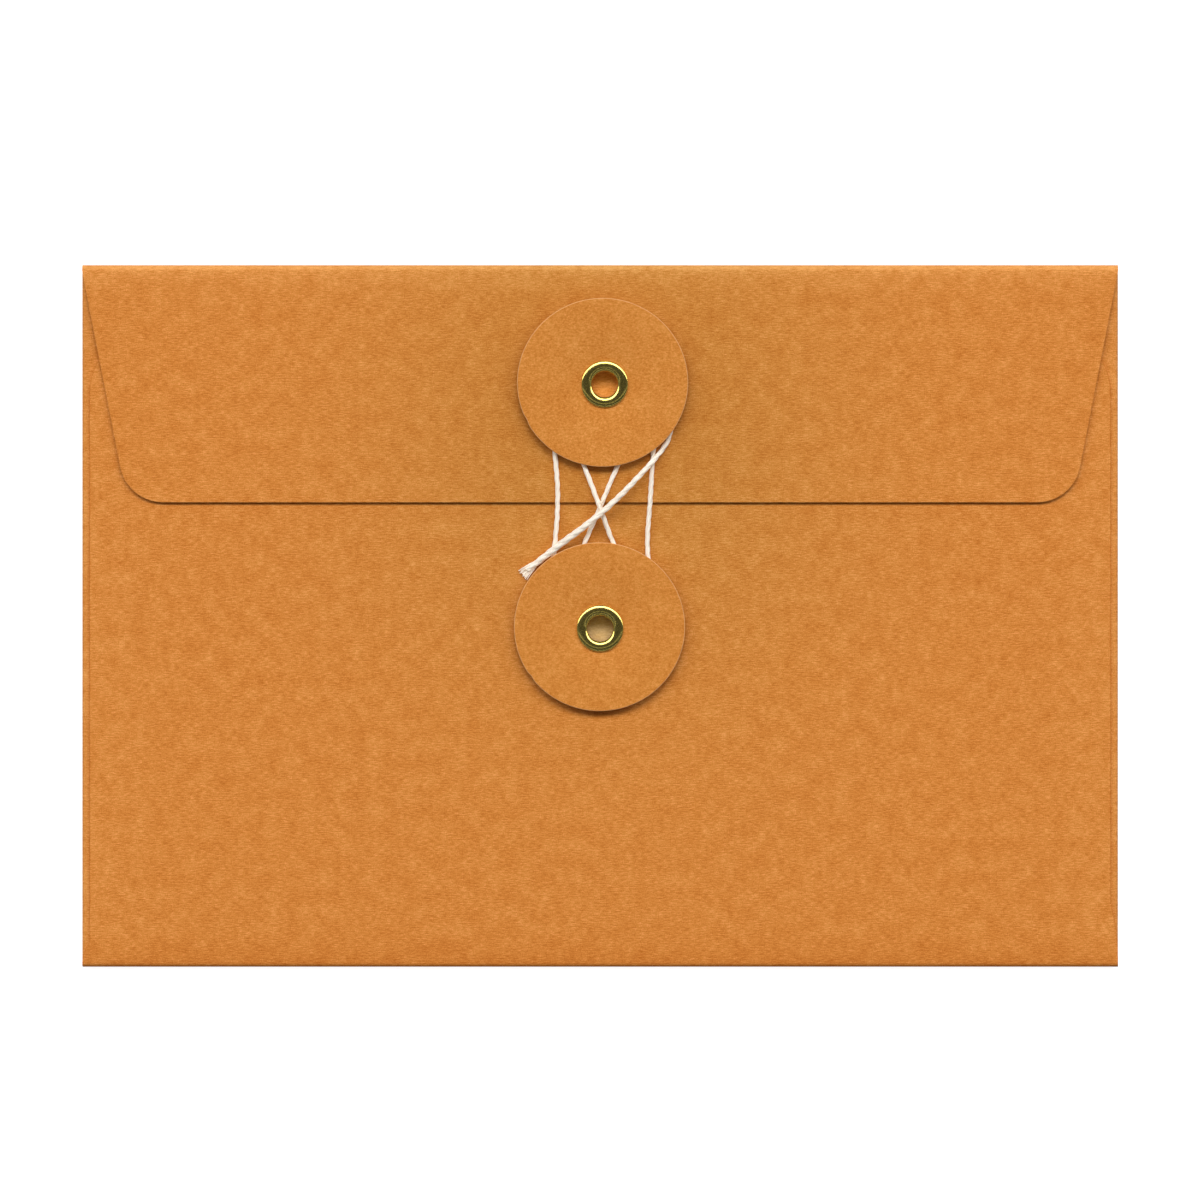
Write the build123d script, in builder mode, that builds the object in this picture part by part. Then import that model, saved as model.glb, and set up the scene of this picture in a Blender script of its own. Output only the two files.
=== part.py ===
from build123d import *
import os
from math import acos, atan2, ceil, cos, degrees, dist, pi, radians, sin, tan

# String tie envelope: a kraft paper pocket with a deep flap, closed by a string wound round two card discs.
# It lies on its address side, in millimetres: +X right, +Y towards the flap fold, +Z up.
# The origin is under the middle of the envelope.

# Paper pocket
envelope_width = 155.0
envelope_height = 105.0
paper = 0.25
pocket_gap = 0.80
glue_film = 0.05
glue_width = 8.0
glue_margin = 2.0
seam_inset = 1.1
seam_flap_width = 13.0
seam_flap_taper = 6.0
throat_drop = 10.0
throat_radius = 9.0
pocket_flare = 3.0

# Closing flap
flap_drop = 35.5
flap_side_angle = 11.0
flap_corner_radius = 6.5
flap_root_gap = 0.20
flap_tip_gap = 0.15

# Buttons: a disc on a smaller washer, riveted to the paper by an eyelet over a paper patch
upper_button_x = 0.69
upper_button_to_tip = 17.64
lower_button_x = 0.0
button_spacing = 36.52
disc_diameter = 25.4
disc_thickness = 0.60
disc_edge_bevel = 0.12
spacer_diameter = 13.0
neck_height = 0.96
patch_diameter = 12.0
patch = 0.15
eyelet_bore = 3.9
eyelet_wall = 0.25
flange_diameter = 7.0
flange_height = 0.45
flange_lip = 0.15
clinch_diameter = 6.4
clinch_depth = 0.40
clinch_lip = 0.12
clinch_flat = 0.50
clinch_clearance = 0.15
eyelet_clearance = 0.05
face_clearance = 0.02

# String
string_diameter = 0.75
free_end_diameter = 0.90
string_sides = 10
turn_gap = 0.44
neck_clearance = 0.07
knot_length = 1.4
knot_diameter = 0.92
arc_share = 0.45
turn_arc_share = 0.49
gap_step = 0.25

# Heights of the folded sheet, from the surface it lies on
pocket_under = paper + pocket_gap
pocket_top = pocket_under + paper
seam_top = pocket_under - glue_film
flap_root_under = pocket_top + flap_root_gap
flap_tip_under = pocket_top + flap_tip_gap
flap_crown_under = pocket_top + clinch_clearance + clinch_depth + patch
flap_crown_top = flap_crown_under + paper

# Outer radii of the folds, and where the flat panels end
side_bend = seam_top / 2
bottom_bend = pocket_top / 2
flap_bend = (flap_root_under + paper) / 2
panel_side = envelope_width / 2 - side_bend
panel_bottom = bottom_bend - envelope_height / 2
panel_top = envelope_height / 2 - flap_bend
pocket_half_width = envelope_width / 2 - seam_inset
throat = envelope_height / 2 - throat_drop
flap_tip = envelope_height / 2 - flap_drop
flap_tip_half_width = envelope_width / 2 - (panel_top - flap_tip) * tan(radians(flap_side_angle))

# Button places, and the heights that each stack of disc, washer and paper starts from
upper_button = Vector(upper_button_x, flap_tip + upper_button_to_tip)
lower_button = upper_button - Vector(0, button_spacing)
lower_button.X = lower_button_x
upper_seat = flap_crown_top + face_clearance
lower_seat = pocket_top
eyelet_radius = eyelet_bore / 2 + eyelet_wall
eyelet_hole = eyelet_radius + eyelet_clearance

os.makedirs("parts", exist_ok=True)


def write(piece, name):
    """Label a finished piece and write it to its own file."""
    piece.part.label = name
    export_step(piece.part, f"parts/{name}.step")


# Address panel: the plain back wall that the envelope lies on
with BuildPart() as address_panel:
    with BuildSketch():
        with Locations((0, (panel_top + panel_bottom) / 2)):
            Rectangle(2 * panel_side, panel_top - panel_bottom)
    extrude(amount=paper)
write(address_panel, "address_panel")

# Pocket panel: the front wall, as wide as the envelope at its bottom fold and a little narrower above it,
# with round shoulders at its throat and a hole for the lower eyelet
with BuildPart() as pocket_panel:
    with BuildSketch(Plane.XY.offset(pocket_under)):
        with BuildLine():
            Polyline(
                (-envelope_width / 2, panel_bottom),
                (-pocket_half_width, panel_bottom + pocket_flare),
                (-pocket_half_width, throat),
                (pocket_half_width, throat),
                (pocket_half_width, panel_bottom + pocket_flare),
                (envelope_width / 2, panel_bottom),
                close=True,
            )
        make_face()
        fillet(vertices().group_by(Axis.Y)[-1], throat_radius)
        with Locations(lower_button):
            Circle(eyelet_hole, mode=Mode.SUBTRACT)
    extrude(amount=paper)
write(pocket_panel, "pocket_panel")


def fold(middle, outward, bend, length):
    """A strip of paper bent through half a turn, from the address panel up to the layer above it."""
    along = outward.cross(Vector(0, 0, 1))
    with BuildPart() as strip:
        with BuildSketch(Plane(middle, x_dir=outward, z_dir=along)):
            Circle(bend)
            Circle(bend - paper, mode=Mode.SUBTRACT)
            with Locations((-bend / 2, 0)):
                Rectangle(bend, 2 * bend, mode=Mode.SUBTRACT)
        extrude(amount=length / 2, both=True)
    return strip


def seam_flap(side):
    """A narrow side flap folded in under the pocket panel, with both ends tapered."""
    inner = panel_side - seam_flap_width
    with BuildPart() as flap:
        with BuildSketch(Plane.XY.offset(seam_top - paper)):
            with BuildLine():
                Polyline(
                    (side * panel_side, seam_flap_low),
                    (side * panel_side, seam_flap_high),
                    (side * inner, seam_flap_high - seam_flap_taper),
                    (side * inner, seam_flap_low + seam_flap_taper),
                    close=True,
                )
            make_face()
        extrude(amount=paper)
    return flap


def glue_line(side):
    """The film of dried adhesive between a side flap and the pocket panel."""
    inner = panel_side - seam_flap_width + glue_margin
    low = seam_flap_low + seam_flap_taper
    high = throat - throat_radius
    with BuildPart() as film:
        with BuildSketch(Plane.XY.offset(seam_top)):
            with Locations((side * (inner + glue_width / 2), (low + high) / 2)):
                Rectangle(glue_width, high - low)
        extrude(amount=glue_film)
    return film


# Folds and side seams: the side folds stop short of the bottom and flap folds, where the sheet is notched
seam_flap_low = panel_bottom
seam_flap_high = panel_top
seam_middle = (seam_flap_low + seam_flap_high) / 2
seam_length = seam_flap_high - seam_flap_low
for side, side_name in ((-1, "left"), (1, "right")):
    side_fold_middle = (side * panel_side, seam_middle, side_bend)
    write(fold(side_fold_middle, Vector(side, 0, 0), side_bend, seam_length), f"{side_name}_side_fold")
    write(seam_flap(side), f"{side_name}_seam_flap")
    write(glue_line(side), f"{side_name}_glue_line")
bottom_fold_middle = (0, panel_bottom, bottom_bend)
write(fold(bottom_fold_middle, Vector(0, -1, 0), bottom_bend, envelope_width), "bottom_fold")
flap_fold_middle = (0, panel_top, flap_bend)
write(fold(flap_fold_middle, Vector(0, 1, 0), flap_bend, envelope_width), "flap_fold")


def bowed_sheet(low, high):
    """A sheet that bows from the flap fold over the upper eyelet to the flap's tip, between two offsets."""
    with BuildPart() as sheet:
        with BuildSketch(Plane.YZ):
            with BuildLine():
                under = ThreePointArc(
                    (panel_top, flap_root_under + low),
                    (upper_button.Y, flap_crown_under + low),
                    (flap_tip, flap_tip_under + low),
                )
                over = ThreePointArc(
                    (flap_tip, flap_tip_under + high),
                    (upper_button.Y, flap_crown_under + high),
                    (panel_top, flap_root_under + high),
                )
                Line(under @ 1, over @ 0)
                Line(over @ 1, under @ 0)
            make_face()
        extrude(amount=envelope_width / 2, both=True)
    return sheet


# Closing flap: tapered sides and round corners, bowed up where the eyelet's clinched end lies under it
with BuildPart() as closing_flap:
    add(bowed_sheet(0, paper))
    with BuildSketch():
        with BuildLine():
            Polyline(
                (-envelope_width / 2, panel_top),
                (-flap_tip_half_width, flap_tip),
                (flap_tip_half_width, flap_tip),
                (envelope_width / 2, panel_top),
                close=True,
            )
        make_face()
        fillet(vertices().group_by(Axis.Y)[0], flap_corner_radius)
        with Locations(upper_button):
            Circle(eyelet_hole, mode=Mode.SUBTRACT)
    extrude(amount=envelope_height, mode=Mode.INTERSECT)
write(closing_flap, "closing_flap")

# Paper patches behind the eyelets, glued to the inner face of the flap and of the pocket panel
with BuildPart() as upper_patch:
    add(bowed_sheet(-patch, 0))
    with BuildSketch():
        with Locations(upper_button):
            Circle(patch_diameter / 2)
            Circle(eyelet_hole, mode=Mode.SUBTRACT)
    extrude(amount=envelope_height, mode=Mode.INTERSECT)
write(upper_patch, "upper_patch")


def card_washer(centre, bottom, diameter, thickness, edge_bevel=0):
    """A die-cut ring of card or paper with a hole for the eyelet, its upper edge pressed down by the cut."""
    with BuildPart() as washer:
        with BuildSketch(Plane.XY.offset(bottom)):
            with Locations(centre):
                Circle(diameter / 2)
                Circle(eyelet_hole, mode=Mode.SUBTRACT)
        extrude(amount=thickness)
        if edge_bevel:
            rim = edges().filter_by(GeomType.CIRCLE).group_by(Axis.Z)[-1].sort_by(SortBy.RADIUS)[-1]
            chamfer(rim, edge_bevel)
    return washer


def eyelet(centre, flange_seat, clinch_seat):
    """A sheet-metal eyelet: a domed flange, a plain barrel, and its end rolled out and pressed flat below."""
    bore = eyelet_bore / 2
    flange = flange_diameter / 2
    clinch = clinch_diameter / 2
    flange_crown = (bore + flange) / 2
    clinch_crown = (bore + clinch) / 2
    with BuildPart() as rivet:
        with BuildSketch(Plane((centre.X, centre.Y, 0), x_dir=(1, 0, 0), z_dir=(0, -1, 0))):
            with BuildLine():
                dome = ThreePointArc(
                    (bore, flange_seat + flange_lip),
                    (flange_crown, flange_seat + flange_height),
                    (flange, flange_seat),
                )
                dome_inside = Polyline(
                    (flange - eyelet_wall, flange_seat),
                    (flange_crown, flange_seat + flange_height - eyelet_wall),
                    (eyelet_radius, flange_seat),
                )
                roll_inside = Polyline(
                    (eyelet_radius, clinch_seat),
                    (clinch_crown, clinch_seat - clinch_depth + eyelet_wall),
                    (clinch - eyelet_wall, clinch_seat),
                )
                roll = Polyline(
                    (clinch, clinch_seat),
                    (clinch_crown + clinch_flat / 2, clinch_seat - clinch_depth),
                    (clinch_crown - clinch_flat / 2, clinch_seat - clinch_depth),
                    (bore, clinch_seat - clinch_lip),
                )
                Line(dome @ 1, dome_inside @ 0)
                Line(dome_inside @ 1, roll_inside @ 0)
                Line(roll_inside @ 1, roll @ 0)
                Line(roll @ 1, dome @ 0)
            make_face()
        revolve(axis=Axis((centre.X, centre.Y, 0), (0, 0, 1)))
    return rivet


# Buttons: washer, disc and eyelet of each, stacked from the paper up; the discs turn on their eyelets
lower_patch_bottom = pocket_under - patch
write(card_washer(lower_button, lower_patch_bottom, patch_diameter, patch), "lower_patch")
buttons = (
    ("upper", upper_button, upper_seat, flap_crown_under - patch - face_clearance),
    ("lower", lower_button, lower_seat, lower_patch_bottom),
)
for button_name, centre, seat, clinch_seat in buttons:
    disc_bottom = seat + neck_height + face_clearance
    flange_seat = disc_bottom + disc_thickness + face_clearance
    spacer = card_washer(centre, seat, spacer_diameter, neck_height)
    disc = card_washer(centre, disc_bottom, disc_diameter, disc_thickness, disc_edge_bevel)
    write(spacer, f"{button_name}_spacer")
    write(disc, f"{button_name}_disc")
    write(eyelet(centre, flange_seat, clinch_seat), f"{button_name}_eyelet")


def touch_angle(centre, radius, point, side):
    """Angle in degrees where a straight strand from a point touches a turn round a neck, on one side."""
    strand = point - centre
    reach = (strand.X**2 + strand.Y**2) ** 0.5
    return degrees(atan2(strand.Y, strand.X) + side * acos(radius / reach))


def neck_turn(centre, height, start, end, start_radius, end_radius, corners):
    """Corner points of a turn round a neck, from one angle to another in degrees."""
    half_turn = radians(end - start) / corners / 2
    points = []
    for i in range(corners):
        share = (i + 0.5) / corners
        angle = radians(start + share * (end - start))
        reach = (start_radius + share * (end_radius - start_radius)) / cos(half_turn)
        points.append(Vector(centre.X + reach * cos(angle), centre.Y + reach * sin(angle), height))
    return points


def smooth_route(points, share, straight_end):
    """Straight runs joined by tangent arcs, each as large as its two runs allow, and the arcs' radii."""
    radii = []
    runs = [(after - before).length for before, after in zip(points, points[1:])]
    room = [share * run for run in runs]
    room[0] = runs[0] - straight_end
    room[-1] = runs[-1] - straight_end
    with BuildLine() as route:
        reached = points[0]
        for i, (before, corner, after) in enumerate(zip(points, points[1:], points[2:])):
            arriving = (corner - before).normalized()
            leaving = (after - corner).normalized()
            reach = min(room[i], room[i + 1])
            arc_start = corner - arriving * reach
            arc_end = corner + leaving * reach
            Line(reached, arc_start)
            TangentArc(arc_start, arc_end, tangent=arriving)
            reached = arc_end
            radii.append(reach / tan(radians(arriving.get_angle(leaving) / 2)))
        Line(reached, points[-1])
    return route.wire(), radii


def string_tube(route, diameter):
    """A string of many flat sides along its route, and the area of its section."""
    with BuildPart() as tube:
        with BuildSketch(Plane(route @ 0, z_dir=route % 0)) as section:
            RegularPolygon(diameter / 2, string_sides)
        sweep(path=route)
    return tube, section.sketch.area


def least_gap(route, diameter):
    """The least clear distance between stretches of a string, measured on points along its middle."""
    points = []
    along = 0.0
    for edge in route.edges():
        steps = ceil(edge.length / gap_step)
        for i in range(steps):
            points.append((along + edge.length * i / steps, tuple(edge @ (i / steps))))
        along += edge.length
    shortest_loop = 2 * pi * diameter
    gaps = [
        dist(here, there)
        for i, (here_at, here) in enumerate(points)
        for there_at, there in points[i + 1 :]
        if there_at - here_at > shortest_loop
    ]
    return min(gaps) - diameter


def report_string(name, tube, section_area, route, radii, diameter):
    """Print a string's length, its volume beside section times length, its radii and its least gap."""
    length = route.length
    expected = section_area * length
    print(name, "length", round(length, 2), "volume", round(tube.part.volume, 3), "of", round(expected, 3))
    print(name, "radii", [round(radius, 1) for radius in radii])
    print(name, "least gap to itself", round(least_gap(route, diameter), 3))


def strand(*offsets):
    """Points of a loose or straight stretch of string, from offsets to the middle between the two necks."""
    return [closure_middle + Vector(*offset) for offset in offsets]


# Winding: from the knot on the upper neck the string goes down in a crossed belt, then in a plain one.
# Each wound turn lies outside the last, and the straight strands stay clear of the flap and under the discs.
inner_turn = spacer_diameter / 2 + neck_clearance + string_diameter / 2
turn_step = string_diameter + turn_gap
second_turn = inner_turn + turn_step
third_turn = second_turn + turn_step
upper_level = upper_seat + (neck_height + face_clearance) / 2
lower_level = lower_seat + (neck_height + face_clearance) / 2
closure_middle = (upper_button + lower_button + Vector(0, 0, upper_level + lower_level)) / 2
full_turn = 360.0
knot_angle = 90.0
clear_of_knot_angle = 112.0
winding_end_angle = 8.0
winding_end_radius = 10.7
arrival_drift = 0.25
arrival_turn = second_turn + arrival_drift
first_cross_strand = strand((2.20, 6.025, 0.265), (-0.37, -0.135, -0.075), (-2.45, -5.225, -0.535))
second_cross_strand = strand(
    (1.65, -5.175, -0.535),
    (0.10, -1.275, 1.145),
    (-0.80, 0.975, 1.145),
    (-2.70, 5.725, 0.325),
)
right_strand = strand((7.55, 7.025, 0.215), (7.25, 0.425, -0.105), (6.85, -6.475, -0.535))
left_strand = strand((-6.90, -6.275, -0.535), (-6.45, 0.825, -0.085), (-6.90, 7.525, 0.225))
winding_start = Vector(upper_button.X - string_diameter, upper_button.Y + inner_turn, upper_level)
winding_end = Vector(
    upper_button.X + winding_end_radius * cos(radians(winding_end_angle)),
    upper_button.Y + winding_end_radius * sin(radians(winding_end_angle)),
    upper_level,
)
tie_turn = neck_turn(
    upper_button,
    upper_level,
    knot_angle,
    touch_angle(upper_button, inner_turn, first_cross_strand[0], 1),
    inner_turn,
    inner_turn,
    corners=2,
)
crossed_turn = neck_turn(
    lower_button,
    lower_level,
    touch_angle(lower_button, inner_turn, first_cross_strand[-1], 1),
    touch_angle(lower_button, inner_turn, second_cross_strand[0], -1) + full_turn,
    inner_turn,
    inner_turn,
    corners=4,
)
climbing_turn = neck_turn(
    upper_button,
    upper_level,
    touch_angle(upper_button, inner_turn, second_cross_strand[-1], -1) + full_turn,
    clear_of_knot_angle,
    inner_turn,
    second_turn,
    corners=2,
)
over_knot_turn = neck_turn(
    upper_button,
    upper_level,
    clear_of_knot_angle,
    touch_angle(upper_button, second_turn, right_strand[0], 1),
    second_turn,
    second_turn,
    corners=2,
)
plain_turn = neck_turn(
    lower_button,
    lower_level,
    touch_angle(lower_button, second_turn, right_strand[-1], -1),
    touch_angle(lower_button, second_turn, left_strand[0], 1) - full_turn,
    second_turn,
    second_turn,
    corners=3,
)
last_climb = neck_turn(
    upper_button,
    upper_level,
    touch_angle(upper_button, arrival_turn, left_strand[-1], -1) + full_turn,
    clear_of_knot_angle,
    arrival_turn,
    third_turn,
    corners=2,
)
leaving_turn = neck_turn(
    upper_button,
    upper_level,
    clear_of_knot_angle,
    winding_end_angle,
    third_turn,
    winding_end_radius,
    corners=2,
)
winding_points = [
    winding_start,
    *tie_turn,
    *first_cross_strand,
    *crossed_turn,
    *second_cross_strand,
    *climbing_turn,
    *over_knot_turn,
    *right_strand,
    *plain_turn,
    *left_strand,
    *last_climb,
    *leaving_turn,
    winding_end,
]
winding_route, winding_radii = smooth_route(winding_points, turn_arc_share, string_diameter)
string_winding, section = string_tube(winding_route, string_diameter)
report_string("string_winding", string_winding, section, winding_route, winding_radii, string_diameter)
write(string_winding, "string_winding")

# Free end: out from under the upper disc, over every strand, beside the lower disc's rim to its tip
free_end_strand = strand(
    (11.20, 15.225, 0.485),
    (10.70, 11.125, 0.445),
    (9.10, 8.475, 0.585),
    (5.65, 5.075, 2.025),
    (1.95, 1.475, 2.225),
    (-1.95, -2.075, 2.175),
    (-6.85, -6.075, 0.675),
    (-11.85, -10.225, -0.475),
)
free_end_route, free_end_radii = smooth_route(
    [winding_end, *free_end_strand], arc_share, free_end_diameter
)
string_free_end, section = string_tube(free_end_route, free_end_diameter)
report_string("string_free_end", string_free_end, section, free_end_route, free_end_radii, free_end_diameter)
write(string_free_end, "string_free_end")

# Knot: the stopper at the string's fixed end, drawn up against the upper neck
with BuildPart() as string_knot:
    with BuildSketch(Plane(winding_start, x_dir=(-1, 0, 0), z_dir=(0, 0, 1))):
        with BuildLine():
            swell = ThreePointArc(
                (0, string_diameter / 2),
                (knot_length / 2, knot_diameter / 2),
                (knot_length, string_diameter / 2),
            )
            Polyline(swell @ 1, (knot_length, 0), (0, 0), swell @ 0)
        make_face()
    revolve(axis=Axis(winding_start, (1, 0, 0)))
write(string_knot, "string_knot")
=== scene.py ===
import functools
import math

import bmesh
import bpy
import numpy as np
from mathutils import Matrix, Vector


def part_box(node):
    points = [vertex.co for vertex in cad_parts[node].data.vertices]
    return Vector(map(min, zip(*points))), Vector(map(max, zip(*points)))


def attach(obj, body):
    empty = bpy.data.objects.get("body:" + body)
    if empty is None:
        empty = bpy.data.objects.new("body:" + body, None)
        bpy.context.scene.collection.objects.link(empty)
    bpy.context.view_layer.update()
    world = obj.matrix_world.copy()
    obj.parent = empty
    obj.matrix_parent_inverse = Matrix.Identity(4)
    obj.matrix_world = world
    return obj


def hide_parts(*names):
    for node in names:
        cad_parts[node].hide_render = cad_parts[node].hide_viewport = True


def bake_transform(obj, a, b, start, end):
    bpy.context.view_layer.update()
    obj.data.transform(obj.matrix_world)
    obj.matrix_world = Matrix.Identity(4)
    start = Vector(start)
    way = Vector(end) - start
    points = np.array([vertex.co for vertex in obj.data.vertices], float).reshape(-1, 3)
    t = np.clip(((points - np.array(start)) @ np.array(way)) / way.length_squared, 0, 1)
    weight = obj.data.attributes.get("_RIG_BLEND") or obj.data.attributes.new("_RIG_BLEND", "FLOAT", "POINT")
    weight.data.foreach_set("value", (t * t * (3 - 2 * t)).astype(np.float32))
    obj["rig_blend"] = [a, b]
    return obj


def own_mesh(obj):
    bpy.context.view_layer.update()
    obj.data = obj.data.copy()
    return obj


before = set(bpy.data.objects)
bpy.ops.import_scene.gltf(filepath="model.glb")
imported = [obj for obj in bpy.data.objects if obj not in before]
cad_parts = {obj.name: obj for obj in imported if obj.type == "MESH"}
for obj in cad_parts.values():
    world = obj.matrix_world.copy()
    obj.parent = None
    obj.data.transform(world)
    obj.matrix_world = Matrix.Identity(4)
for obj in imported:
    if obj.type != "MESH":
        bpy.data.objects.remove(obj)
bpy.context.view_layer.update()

# View and light: the envelope lies flat on a white table and is seen from straight above, as on a flatbed
# scanner. One long lamp beyond the flap fold throws short soft shadows towards the bottom fold and gives the
# brass its bright crescents.
mm = 0.001
scene = bpy.context.scene
scene.view_settings.view_transform = "Standard"
view_width = 179.63 * mm
view_centre = Vector((-0.02 * mm, 2.38 * mm, 0))
camera_height = 3.0
camera_data = bpy.data.cameras.new("camera")
camera_data.lens = camera_data.sensor_width * camera_height / view_width
camera_data.clip_end = 2 * camera_height
camera = bpy.data.objects.new("camera", camera_data)
camera.location = view_centre + Vector((0, 0, camera_height))
scene.collection.objects.link(camera)
scene.camera = camera
lamp_distance = 5.0


def area_lamp(name, rise, size, power):
    """An unseen lamp that faces the envelope's middle, at an angle in degrees above the table's far side."""
    lamp_data = bpy.data.lights.new(name, "AREA")
    lamp_data.shape = "RECTANGLE"
    lamp_data.size, lamp_data.size_y = size
    lamp_data.energy = power
    lamp = bpy.data.objects.new(name, lamp_data)
    towards = Vector((0, math.cos(math.radians(rise)), math.sin(math.radians(rise))))
    lamp.location = towards * lamp_distance
    lamp.rotation_euler = towards.to_track_quat("Z", "Y").to_euler()
    lamp.visible_camera = False
    scene.collection.objects.link(lamp)


area_lamp("long lamp", 58, size=(24.0, 1.75), power=590.0)
area_lamp("key lamp", 58, size=(2.25, 1.5), power=46.0)
area_lamp("high strip", 98, size=(15.0, 0.25), power=7.0)
area_lamp("low strip", 124, size=(15.0, 0.25), power=11.0)


def node(tree, kind, inputs=None, **options):
    """Add a node with its own options, and give its inputs values or links.

    A link comes from a socket, or from the first output of a node."""
    made = tree.nodes.new(kind)
    for name, value in options.items():
        setattr(made, name, value)
    for key, value in (inputs or {}).items():
        if isinstance(value, bpy.types.Node):
            value = value.outputs[0]
        if isinstance(value, bpy.types.NodeSocket):
            tree.links.new(value, made.inputs[key])
        else:
            made.inputs[key].default_value = value
    return made


zenith_grey = 0.07
zenith_from = 0.95
horizon_grey = 0.26
horizon_to = 0.15
world = bpy.data.worlds.new("studio")
world.use_nodes = True
world.node_tree.nodes.clear()
sky_direction = node(world.node_tree, "ShaderNodeTexCoord").outputs["Generated"]
sky_height = node(world.node_tree, "ShaderNodeSeparateXYZ", {0: sky_direction}).outputs["Z"]
sky_grey = node(
    world.node_tree,
    "ShaderNodeMapRange",
    {
        "Value": sky_height,
        "From Min": horizon_to,
        "From Max": zenith_from,
        "To Min": horizon_grey,
        "To Max": zenith_grey,
    },
)
sky = node(world.node_tree, "ShaderNodeBackground", {"Strength": sky_grey})
node(world.node_tree, "ShaderNodeOutputWorld", {"Surface": sky})
scene.world = world


def principled(name, roughness, **values):
    """A new material with its node tree and shader, and the values that are the same all over it."""
    material = bpy.data.materials.new(name)
    material.use_nodes = True
    shader = material.node_tree.nodes["Principled BSDF"]
    shader.inputs["Roughness"].default_value = roughness
    for socket, value in values.items():
        shader.inputs[socket.replace("_", " ")].default_value = value
    return material, material.node_tree, shader


table_reach = 4.0
table_drop = 0.05 * mm
table_mesh = bpy.data.meshes.new("table")
table_corners = [(-1, -1), (1, -1), (1, 1), (-1, 1)]
table_points = [(x * table_reach, y * table_reach, -table_drop) for x, y in table_corners]
table_mesh.from_pydata(table_points, [], [(0, 1, 2, 3)])
table = bpy.data.objects.new("table", table_mesh)
scene.collection.objects.link(table)
table_finish = principled(
    "white table",
    0.9,
    Base_Color=(0.93, 0.93, 0.93, 1),
    Specular_IOR_Level=0.1,
    Emission_Color=(1, 1, 1, 1),
    Emission_Strength=0.85,
)[0]
table_mesh.materials.append(table_finish)
table.visible_diffuse = False

# String: soft twisted cotton, tied to the upper neck, wound round both necks in a crossed and then a plain
# belt. Its free end comes out from under the upper disc, lies over every strand and ends in a frayed brush.
string_thickness = 0.75 * mm
upper_neck = sum(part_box("upper_spacer"), Vector()) / 2
lower_neck = sum(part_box("lower_spacer"), Vector()) / 2
closure_middle = (upper_neck + lower_neck) / 2
neck_radius = (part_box("upper_spacer")[1].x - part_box("upper_spacer")[0].x) / 2
neck_clearance = 0.07 * mm
turn_gap = 0.44 * mm
inner_turn = neck_radius + neck_clearance + string_thickness / 2
second_turn = inner_turn + string_thickness + turn_gap
third_turn = second_turn + string_thickness + turn_gap
arrival_turn = second_turn + 0.25 * mm
full_turn = 360.0
knot_angle = 90.0
clear_of_knot_angle = 112.0
winding_end_angle = 8.0
winding_end_radius = 10.7 * mm


def strand(*offsets):
    """Points of a loose or straight stretch of string, from offsets in mm to the middle between the necks."""
    return [closure_middle + Vector(offset) * mm for offset in offsets]


def touch_angle(centre, radius, point, side):
    """Angle in degrees where a straight strand from a point touches a turn round a neck, on one side."""
    reach = (point - centre).xy
    return math.degrees(math.atan2(reach.y, reach.x) + side * math.acos(radius / reach.length))


def neck_turn(centre, angles, radii, corners):
    """Corner points of a turn round a neck, from one angle in degrees and one radius to another."""
    start, end = angles
    start_radius, end_radius = radii
    half_step = math.radians(end - start) / corners / 2
    points = []
    for i in range(corners):
        share = (i + 0.5) / corners
        angle = math.radians(start + share * (end - start))
        reach = (start_radius + share * (end_radius - start_radius)) / math.cos(half_step)
        points.append(centre + Vector((reach * math.cos(angle), reach * math.sin(angle), 0)))
    return points


first_cross_strand = strand((2.20, 6.025, 0.20), (-0.37, -0.135, 0.0), (-2.58, -5.225, -0.50))
second_cross_strand = strand(
    (1.42, -5.175, -0.45), (0.02, -1.275, 0.74), (-0.78, 0.975, 0.78), (-2.62, 5.725, 0.30)
)
right_strand = strand((7.48, 7.025, 0.20), (7.13, 0.425, 0.02), (6.50, -6.475, -0.50))
left_strand = strand((-7.16, -6.275, -0.50), (-6.57, 0.825, 0.02), (-7.02, 7.525, 0.20))
winding_start = upper_neck + Vector((-string_thickness, inner_turn, 0))
winding_end_turn = math.radians(winding_end_angle)
winding_end_heading = Vector((math.cos(winding_end_turn), math.sin(winding_end_turn), 0))
winding_end = upper_neck + winding_end_radius * winding_end_heading
first_leaves = touch_angle(upper_neck, inner_turn, first_cross_strand[0], 1)
first_arrives = touch_angle(lower_neck, inner_turn, first_cross_strand[-1], 1)
second_leaves = touch_angle(lower_neck, inner_turn, second_cross_strand[0], -1) + full_turn
second_arrives = touch_angle(upper_neck, inner_turn, second_cross_strand[-1], -1) + full_turn
right_leaves = touch_angle(upper_neck, second_turn, right_strand[0], 1)
right_arrives = touch_angle(lower_neck, second_turn, right_strand[-1], -1)
left_leaves = touch_angle(lower_neck, second_turn, left_strand[0], 1) - full_turn
left_arrives = touch_angle(upper_neck, arrival_turn, left_strand[-1], -1) + full_turn
winding_points = [
    winding_start,
    *neck_turn(upper_neck, (knot_angle, first_leaves), (inner_turn, inner_turn), 2),
    *first_cross_strand,
    *neck_turn(lower_neck, (first_arrives, second_leaves), (inner_turn, inner_turn), 4),
    *second_cross_strand,
    *neck_turn(upper_neck, (second_arrives, clear_of_knot_angle), (inner_turn, second_turn), 2),
    *neck_turn(upper_neck, (clear_of_knot_angle, right_leaves), (second_turn, second_turn), 2),
    *right_strand,
    *neck_turn(lower_neck, (right_arrives, left_leaves), (second_turn, second_turn), 3),
    *left_strand,
    *neck_turn(upper_neck, (left_arrives, clear_of_knot_angle), (arrival_turn, third_turn), 2),
    *neck_turn(upper_neck, (clear_of_knot_angle, winding_end_angle), (third_turn, winding_end_radius), 2),
    winding_end,
]
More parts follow.
